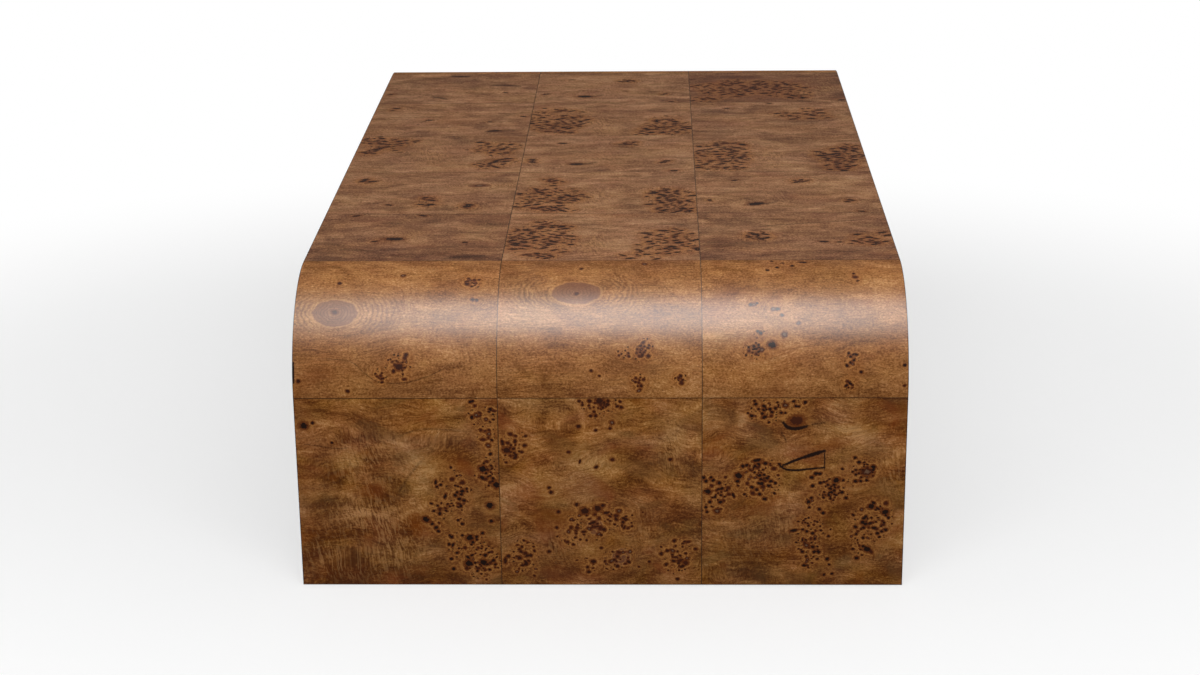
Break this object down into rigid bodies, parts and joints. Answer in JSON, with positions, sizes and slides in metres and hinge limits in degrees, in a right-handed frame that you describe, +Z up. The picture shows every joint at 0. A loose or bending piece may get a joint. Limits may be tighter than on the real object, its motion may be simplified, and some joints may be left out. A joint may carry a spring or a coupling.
{
  "type": "coffee table",
  "caption": "Low waterfall coffee table: a veneered hollow-core slab that bends down in a quarter round at both ends to form full-width legs.",
  "frame": {"origin": "on the floor, at the middle of the footprint", "axes": "+Z up, +Y along the table's length from the front leg to the back leg, +X to the right when looking along +Y"},
  "size_m": [0.813, 1.372, 0.418],
  "materials": {
    "burl_veneer": "semi-gloss lacquer over mottled golden-brown burl veneer with dark eye clusters",
    "plain_veneer": "satin lacquer over plainer brown veneer",
    "edge_veneer": "semi-gloss lacquer over brown edge veneer",
    "fibreboard": "raw medium density fibreboard",
    "bending_plywood": "raw bending plywood",
    "plywood": "raw birch plywood",
    "frame_wood": "raw planed softwood",
    "foot_wood": "dark stained and sealed hardwood",
    "nylon": "matte moulded nylon"
  },
  "bodies": {
    "root": {"back_bend_end_rails": "frame_wood", "back_bend_formers": "plywood", "back_bend_inner_skin": "bending_plywood", "back_bend_inner_veneer": "plain_veneer", "back_bend_leaf_centre": "burl_veneer", "back_bend_leaf_left": "burl_veneer", "back_bend_leaf_right": "burl_veneer", "back_bend_outer_skin": "bending_plywood", "back_leg_inner_skin": "fibreboard", "back_leg_inner_veneer": "plain_veneer", "back_leg_leaf_centre": "burl_veneer", "back_leg_leaf_left": "burl_veneer", "back_leg_leaf_right": "burl_veneer", "back_leg_outer_skin": "fibreboard", "back_leg_rails": "frame_wood", "back_leg_uprights": "frame_wood", "foot_lippings": "foot_wood", "front_bend_end_rails": "frame_wood", "front_bend_formers": "plywood", "front_bend_inner_skin": "bending_plywood", "front_bend_inner_veneer": "plain_veneer", "front_bend_leaf_centre": "burl_veneer", "front_bend_leaf_left": "burl_veneer", "front_bend_leaf_right": "burl_veneer", "front_bend_outer_skin": "bending_plywood", "front_leg_inner_skin": "fibreboard", "front_leg_inner_veneer": "plain_veneer", "front_leg_leaf_centre": "burl_veneer", "front_leg_leaf_left": "burl_veneer", "front_leg_leaf_right": "burl_veneer", "front_leg_outer_skin": "fibreboard", "front_leg_rails": "frame_wood", "front_leg_uprights": "frame_wood", "glides": "nylon", "left_edge_veneer": "edge_veneer", "right_edge_veneer": "edge_veneer", "tongues": "plywood", "top_cross_ribs": "plywood", "top_end_rails": "frame_wood", "top_inner_skin": "fibreboard", "top_leaf_1_centre": "burl_veneer", "top_leaf_1_left": "burl_veneer", "top_leaf_1_right": "burl_veneer", "top_leaf_2_centre": "burl_veneer", "top_leaf_2_left": "burl_veneer", "top_leaf_2_right": "burl_veneer", "top_leaf_3_centre": "burl_veneer", "top_leaf_3_left": "burl_veneer", "top_leaf_3_right": "burl_veneer", "top_leaf_4_centre": "burl_veneer", "top_leaf_4_left": "burl_veneer", "top_leaf_4_right": "burl_veneer", "top_leaf_5_centre": "burl_veneer", "top_leaf_5_left": "burl_veneer", "top_leaf_5_right": "burl_veneer", "top_long_rails": "frame_wood", "top_long_ribs": "plywood", "top_outer_skin": "fibreboard", "top_underside_veneer": "plain_veneer"}
  },
  "joints": []
}
